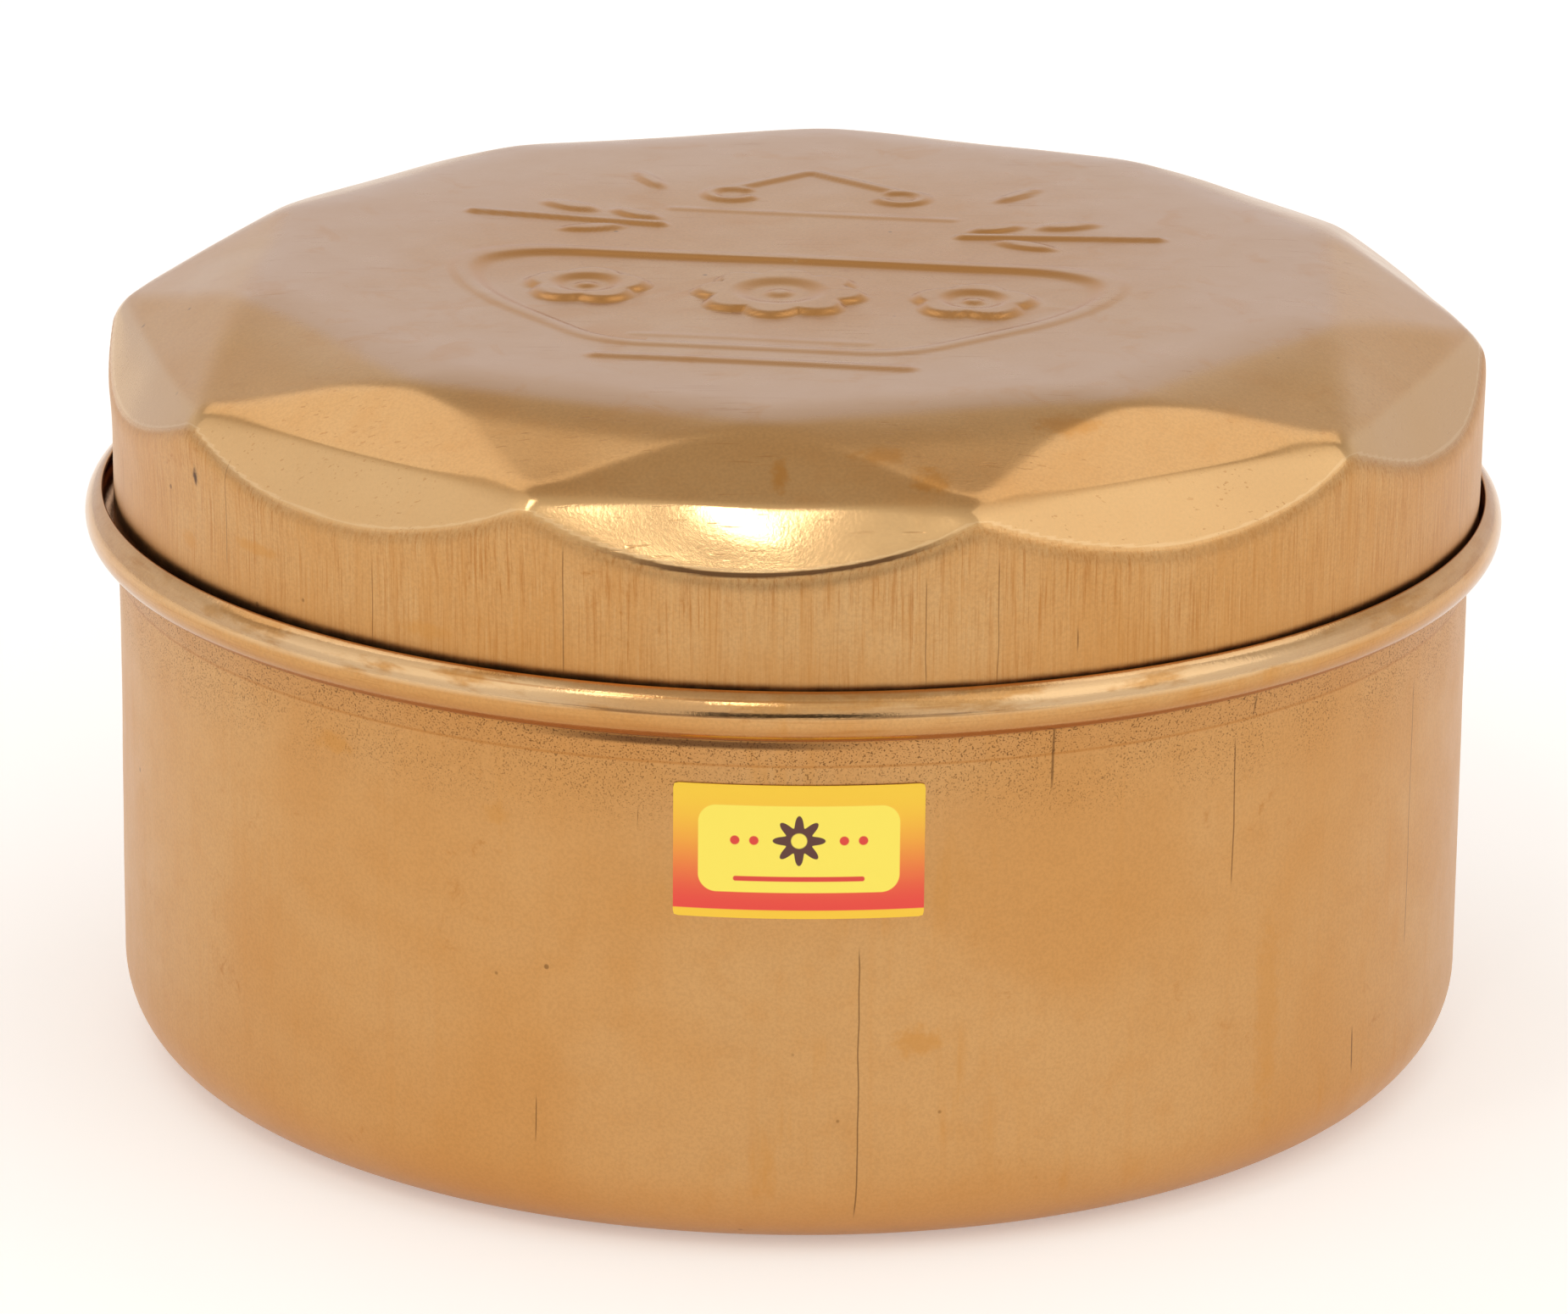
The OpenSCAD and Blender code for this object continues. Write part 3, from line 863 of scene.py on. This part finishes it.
def body_brass():
    nodes = Nodes("body_brass")
    streak = nodes.noise(1.6, 3.0, 0.6, nodes.stretched(1, 1, 0.02))
    grit = nodes.step(nodes.noise(0.24, 1.0, 0.5), 0.57, 0.66)
    below = (FLARE_LOW - 13, FLARE_LOW - 1)
    under_flare = nodes.between(nodes.z, below, (FLARE_TOP + 0.6, FLARE_TOP - 0.3))
    on_bead = nodes.step(nodes.z, FLARE_TOP, FLARE_TOP + 0.8)
    spun = nodes.noise(0.35, 3.0, 0.65, nodes.stretched(0.03, 0.03, 1))
    colour = body_wall_colour(nodes, streak)
    colour = body_flare_colour(nodes, colour, under_flare, grit)
    colour = body_bead_colour(nodes, colour, on_bead, spun, grit)
    colour = add_marks(nodes, colour, BODY_LINES, 0.62, BODY_STAINS)
    rough = nodes.plus(nodes.times(nodes.noise(7.0, 4.0, 0.6), 0.16), 0.31)
    rough = nodes.plus(rough, nodes.times(under_flare, grit, 0.15))
    rough = nodes.minus(rough, nodes.times(on_bead, 0.24))
    normal = nodes.bump(nodes.noise(0.4, 2.0, 0.6), 0.012)
    normal = nodes.bump(streak, 0.02, normal)
    normal = nodes.bump(nodes.times(spun, on_bead), 0.012, normal)
    return finish_brass(nodes, colour, rough, normal)


def lid_crown_colour(nodes, top, skirt, lens):
    """Crown: a dull oxide film and a painted sheen, worn off towards the middle, a painted reflection on the
    steep pattern walls, polished facets.
    """
    colour = brass_base(nodes, -21.0)
    reach = nodes.plus(nodes.radius, nodes.times(nodes.noise(20.0, 3.0, 0.6), 50))
    # Partly a dull oxide film, partly a painted sheen of the low-angle reflection on the top, stronger
    # towards its edge.
    colour = nodes.coat(colour, FILM_AND_SHEEN, top, nodes.step(reach, 48, 96, 0.22, 1.0), 0.85)
    # Painted reflection: the steep walls of the pressed pattern are coloured ochre, as slopes reflecting the
    # darker, warmer surroundings look.
    colour = nodes.coat(colour, BRASS_OCHRE, nodes.attribute("walls"), 0.72)
    ochre = nodes.step(nodes.noise(9.0, 4.0, 0.6, None, 0.8), 0.52, 0.70)
    colour = nodes.coat(colour, BRASS_OCHRE, ochre, nodes.minus(1.0, skirt), 0.35)
    colour = nodes.coat(colour, POLISHED, nodes.minus(1.0, top), nodes.minus(1.0, skirt), 0.28)
    return nodes.coat(colour, POLISHED, lens, 0.55)


def lid_skirt_colour(nodes, colour, skirt, fine):
    """Skirt: fine upright draw lines, ochre low down, and a dark band along the rim: painted shade of the
    rim's gap, with dirt where the rim touches.
    """
    broad = nodes.noise(3.0, 3.0, 0.65, nodes.stretched(1, 1, 0.06))
    uneven = nodes.step(nodes.noise(9.0, 2.0), 0.3, 0.65, 0.22, 0.62)
    colour = nodes.coat(colour, TARNISH, skirt, nodes.step(fine, 0.47, 0.66), uneven)
    colour = nodes.coat(colour, BRASS_OCHRE, skirt, nodes.step(broad, 0.42, 0.7), 0.38)
    colour = nodes.coat(colour, BRASS_PALE, skirt, nodes.step(fine, 0.44, 0.30), 0.35)
    colour = nodes.coat(colour, BRASS_OCHRE, skirt, nodes.step(nodes.z, RIM_H + 7, RIM_H - 1), 0.45)
    # Painted shade of the gap round the rim, broken up by noise like dirt where the rim touches.
    patchy = nodes.step(nodes.noise(5.0, 4.0, 0.7), 0.30, 0.60, 0.25, 0.70)
    gap_shade_and_grime = nodes.times(nodes.level_mark(RIM_H - 0.6, 1.6), patchy)
    return nodes.coat(colour, DIRT, skirt, gap_shade_and_grime)


def lid_edge_colour(nodes, colour, skirt):
    """Edge between skirt and facets: a painted dark reflection under the front facet, and a painted highlight
    along the lower rim of each.
    """
    # Painted dark reflection: a dark band along the edge under the front facet.
    front_dark_reflection = nodes.between(skirt, (0.10, 0.40), (0.98, 0.75))
    front_dark_reflection = nodes.times(front_dark_reflection, nodes.step(nodes.z, LID_TOP - 20.5, LID_TOP - 19))
    ahead = nodes.between(nodes.turn, (-19, -8), (14, 7))
    colour = nodes.coat(colour, DIRT, front_dark_reflection, ahead, 0.9)
    # Painted highlight: a pale line along the lower rim of every facet.
    return nodes.coat(colour, PAINTED_HIGHLIGHT, nodes.between(skirt, (0.0, 0.06), (0.30, 0.12)), 0.35)


def lid_scratches(nodes, skirt):
    marks = nodes.scratches(*LID_SCRATCHES[0])
    for scratch in LID_SCRATCHES[1:]:
        marks = nodes.math("MAXIMUM", marks, nodes.scratches(*scratch))
    return nodes.times(marks, nodes.minus(1.0, skirt))


def lid_brass():
    nodes = Nodes("lid_brass")
    skirt, lens = nodes.attribute("skirt"), nodes.attribute("lens")
    top = nodes.step(nodes.z, LID_TOP - 1.3, LID_TOP - 0.55)
    fine = nodes.noise(0.38, 4.0, 0.7, nodes.stretched(1, 1, 0.03))
    colour = lid_crown_colour(nodes, top, skirt, lens)
    colour = lid_skirt_colour(nodes, colour, skirt, fine)
    colour = lid_edge_colour(nodes, colour, skirt)
    colour = add_marks(nodes, colour, LID_LINES, 0.55, LID_STAINS)
    colour = nodes.coat(colour, DIRT, nodes.blotch(-56.5, 95.5, 0.8, 1.7), 0.95)
    marks = lid_scratches(nodes, skirt)
    colour = nodes.coat(colour, TARNISH, marks, 0.30)
    rough = nodes.plus(nodes.times(nodes.noise(8.0, 4.0, 0.6), 0.12), 0.15)
    rough = nodes.plus(rough, nodes.times(nodes.step(skirt, 0.6, 1.0), 0.17))
    rough = nodes.plus(rough, nodes.times(top, 0.08))
    rough = nodes.minus(rough, nodes.times(lens, 0.09))
    normal = nodes.bump(nodes.noise(0.6, 2.0, 0.6), 0.006)
    normal = nodes.bump(nodes.times(fine, skirt), 0.03, normal)
    normal = nodes.bump(marks, -0.01, normal)
    return finish_brass(nodes, colour, rough, normal)


def cup_brass():
    nodes = Nodes("cup_brass")
    colour = nodes.mix(0.65, brass_base(nodes, 37.0), POLISHED)
    rough = nodes.plus(nodes.times(nodes.noise(5.0, 4.0, 0.6), 0.16), 0.20)
    spun = nodes.noise(0.5, 3.0, 0.6, nodes.stretched(0.05, 0.05, 1))
    return finish_brass(nodes, colour, rough, nodes.bump(spun, 0.015))


def spoon_brass():
    nodes = Nodes("spoon_brass")
    colour = nodes.mix(0.50, brass_base(nodes, 71.0), POLISHED)
    rough = nodes.plus(nodes.times(nodes.noise(3.0, 4.0, 0.6), 0.16), 0.16)
    return finish_brass(nodes, colour, rough, nodes.bump(nodes.noise(0.6, 2.0, 0.6), 0.01))


PRINT_RED = (0.72, 0.05, 0.03)
GROUND_LOW = (0.80, 0.055, 0.035)
GROUND_HIGH = (0.93, 0.60, 0.03)
PANEL_YELLOW = (0.96, 0.80, 0.10)
MARK_BLACK = (0.10, 0.03, 0.02)
STRIP_ORANGE = (0.93, 0.58, 0.03)
PRINT_EDGE = 0.08


def label_paper():
    """Printed sticker: a yellow to red ground with a plain pale panel and a simple flower mark."""
    nodes = Nodes("label_paper")
    across = nodes.times(nodes.minus(nodes.turn, math.degrees(LABEL_TURN)), WALL_R * math.pi / 180)
    up = nodes.minus(nodes.z, (LABEL_LOW[2] + LABEL_HIGH[2]) / 2)
    colour = nodes.mix(nodes.step(up, -8, 9), GROUND_LOW, GROUND_HIGH)
    colour = nodes.coat(colour, PANEL_YELLOW, panel_mask(nodes, across, nodes.minus(up, 0.4), 13.2, 6.0, 2.4))
    colour = nodes.coat(colour, MARK_BLACK, flower_mask(nodes, across, nodes.minus(up, 1.6), 3.6, 8))
    for shift in (-8.4, -5.9, 5.9, 8.4):
        dot = disc_mask(nodes, nodes.minus(across, shift), nodes.minus(up, 1.6), 0.62)
        colour = nodes.coat(colour, PRINT_RED, dot)
    colour = nodes.coat(colour, PRINT_RED, panel_mask(nodes, across, nodes.plus(up, 3.7), 8.6, 0.34, 0.3))
    strip = nodes.step(nodes.z, LABEL_LOW[2] + 1.25, LABEL_LOW[2] + 1.05)
    colour = nodes.coat(colour, STRIP_ORANGE, strip)
    nodes.put(nodes.shader.inputs["Base Color"], colour)
    nodes.shader.inputs["Roughness"].default_value = 0.42
    nodes.put(nodes.shader.inputs["Normal"], nodes.bump(nodes.noise(1.2, 3.0, 0.6), 0.02))
    return nodes.material


def panel_mask(nodes, across, up, half_w, half_h, corner):
    """Filled rectangle with round corners."""
    dx = nodes.math("MAXIMUM", nodes.minus(nodes.math("ABSOLUTE", across), half_w - corner), 0)
    dz = nodes.math("MAXIMUM", nodes.minus(nodes.math("ABSOLUTE", up), half_h - corner), 0)
    return nodes.step(nodes.length(dx, dz), corner + PRINT_EDGE, corner - PRINT_EDGE)


def disc_mask(nodes, across, up, radius):
    return nodes.step(nodes.length(across, up), radius + PRINT_EDGE, radius - PRINT_EDGE)


def flower_mask(nodes, across, up, radius, petals):
    """Flower outline whose edge swells once for each petal."""
    reach = nodes.length(across, up)
    swell = nodes.math("COSINE", nodes.times(nodes.math("ARCTAN2", up, across), petals))
    edge = nodes.plus(nodes.times(swell, 0.22 * radius), 0.74 * radius)
    body = nodes.step(nodes.minus(reach, edge), PRINT_EDGE, -PRINT_EDGE)
    return nodes.times(body, nodes.step(reach, 0.26 * radius, 0.32 * radius))


# ---------------- studio

# Sky colours by height above the horizon, from 0 to 1
SKY_BEHIND = ((0.0, (0.80, 0.78, 0.82)), (0.35, (0.84, 0.83, 0.86)), (0.7, (0.56, 0.50, 0.43)))
SKY_AHEAD = ((0.0, (0.85, 0.83, 0.84)), (0.7, (0.97, 0.94, 0.87)), (0.97, (0.62, 0.56, 0.48)))

# Lights: name, azimuth from the front and elevation in degrees, distance and size in metres, radiance
LIGHTS = (
    ("soft_left", -72, 42, 1.5, (1.30, 1.2), 0.22),
    ("soft_right", 62, 46, 1.5, (1.1, 1.2), 0.40),
    ("back_left", -131, 53, 1.5, (0.8, 0.8), 0.66),
    ("back_right", 127, 58, 1.5, (0.8, 0.8), 0.70),
    ("hot_front", -9.5, 47, 1.4, (0.08, 0.16), 10.0),
    ("hot_left", -37, 52, 1.4, (0.16, 0.35), 3.5),
)


def floor_material():
    nodes = Nodes("studio_floor")
    tone = nodes.mix(nodes.step(nodes.noise(400.0, 2.0), 0.3, 0.7), (0.90, 0.90, 0.90), (0.93, 0.93, 0.93))
    nodes.put(nodes.shader.inputs["Base Color"], tone)
    nodes.shader.inputs["Roughness"].default_value = 0.8
    nodes.shader.inputs["Emission Color"].default_value = (1, 1, 1, 1)
    nodes.shader.inputs["Emission Strength"].default_value = 0.29
    return nodes.material


def make_floor():
    half = 6000.0
    verts = [(-half, -half, 0), (half, -half, 0), (half, half, 0), (-half, half, 0)]
    floor = new_object("studio_floor", verts, [[0, 1, 2, 3]])
    floor.data.materials.append(floor_material())


def make_dark_opening():
    """The dark gap in the front of the light tent, which shows only in reflections."""
    away, wide, low, high = -1700.0, 430.0, 2.0, 430.0
    verts = [(-wide, away, low), (wide, away, low), (wide, away, high), (-wide, away, high)]
    card = new_object("studio_opening", verts, [[0, 1, 2, 3]])
    nodes = Nodes("studio_opening")
    nodes.put(nodes.shader.inputs["Base Color"], (0.03, 0.025, 0.02))
    card.data.materials.append(nodes.material)
    card.visible_camera = False
    card.visible_shadow = False


def make_world():
    """Pale surroundings: brighter in front, darker and warmer straight up."""
    world = bpy.data.worlds.new("studio")
    bpy.context.scene.world = world
    world.use_nodes = True
    tree = world.node_tree
    coords = tree.nodes.new("ShaderNodeTexCoord")
    split = tree.nodes.new("ShaderNodeSeparateXYZ")
    tree.links.new(coords.outputs["Generated"], split.inputs[0])
    behind = sky_ramp(tree, split.outputs["Z"], SKY_BEHIND)
    ahead = sky_ramp(tree, split.outputs["Z"], SKY_AHEAD)
    share = tree.nodes.new("ShaderNodeMapRange")
    share.interpolation_type = "SMOOTHSTEP"
    share.inputs["From Min"].default_value = 0.25
    share.inputs["From Max"].default_value = -0.45
    tree.links.new(split.outputs["Y"], share.inputs["Value"])
    mix = tree.nodes.new("ShaderNodeMix")
    mix.data_type = "RGBA"
    tree.links.new(share.outputs[0], mix.inputs[0])
    tree.links.new(behind, mix.inputs[6])
    tree.links.new(ahead, mix.inputs[7])
    tree.links.new(mix.outputs[2], tree.nodes["Background"].inputs["Color"])


def sky_ramp(tree, height, stops):
    """Colour by height above the horizon."""
    ramp = tree.nodes.new("ShaderNodeValToRGB")
    tree.links.new(height, ramp.inputs[0])
    for element, (position, colour) in zip(ramp.color_ramp.elements, (stops[0], stops[-1])):
        element.position = position
        element.color = (*colour, 1)
    for position, colour in stops[1:-1]:
        ramp.color_ramp.elements.new(position).color = (*colour, 1)
    return ramp.outputs[0]


def soft_box(name, azimuth, elevation, away, size, radiance):
    """Rectangular soft light that faces the object, at an azimuth from the front and an elevation."""
    data = bpy.data.lights.new(name, "AREA")
    data.shape = "RECTANGLE"
    data.size, data.size_y = size
    data.energy = radiance * math.pi * size[0] * size[1]
    a, e = math.radians(azimuth), math.radians(elevation)
    way = Vector((math.sin(a) * math.cos(e), -math.cos(a) * math.cos(e), math.sin(e)))
    light = bpy.data.objects.new(name, data)
    light.location = way * away + Vector((0, 0, 0.06))
    light.rotation_euler = (-way).to_track_quat("-Z", "Y").to_euler()
    bpy.context.scene.collection.objects.link(light)


def make_lights():
    for light in LIGHTS:
        soft_box(*light)


def make_camera():
    """Long lens, a little over a metre away, looking down at the front of the box."""
    away, height = 1024.30, 388.47
    pitch, pan, roll = 0.3161, -0.0011, 0.009
    ahead = Vector((math.sin(pan) * math.cos(pitch), math.cos(pan) * math.cos(pitch), -math.sin(pitch)))
    right = Vector((math.cos(pan), -math.sin(pan), 0))
    up = right.cross(ahead)
    right_rolled = math.cos(roll) * right + math.sin(roll) * up
    up_rolled = -math.sin(roll) * right + math.cos(roll) * up
    data = bpy.data.cameras.new("camera")
    data.sensor_width = 36.0
    data.lens = 173.37
    data.clip_start, data.clip_end = 0.05, 50
    camera = bpy.data.objects.new("camera", data)
    turn = Matrix((right_rolled, up_rolled, -ahead)).transposed()
    camera.matrix_world = Matrix.Translation((0, -away * MM, height * MM)) @ turn.to_4x4()
    bpy.context.scene.collection.objects.link(camera)
    bpy.context.scene.camera = camera


# ---------------- the object

def place_piece(piece, body, node, material):
    piece.data.materials.append(material)
    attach(piece, body)
    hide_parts(node)


def make_object():
    place_piece(make_body(), "box", "body", body_brass())
    place_piece(make_lid(), "lid", "lid", lid_brass())
    place_piece(make_label(), "box", "label", label_paper())
    brass = cup_brass()
    place_piece(make_cup("centre_cup_spun", 0, 0, 20), "centre_cup", "centre_cup", brass)
    ring_r = 2 * CUP_R + CUP_GAP
    for k in range(CUP_COUNT):
        turn = FIRST_CUP + k * 2 * math.pi / CUP_COUNT
        name = f"ring_cup_{k + 1}"
        cup = make_cup(name + "_spun", ring_r * math.cos(turn), ring_r * math.sin(turn), 21 + k)
        place_piece(cup, name, name, brass)
    place_piece(make_spoon(), "spoon", "spoon", spoon_brass())


bpy.context.scene.view_settings.view_transform = "Standard"
make_camera()
make_world()
make_lights()
make_floor()
make_dark_opening()
make_object()
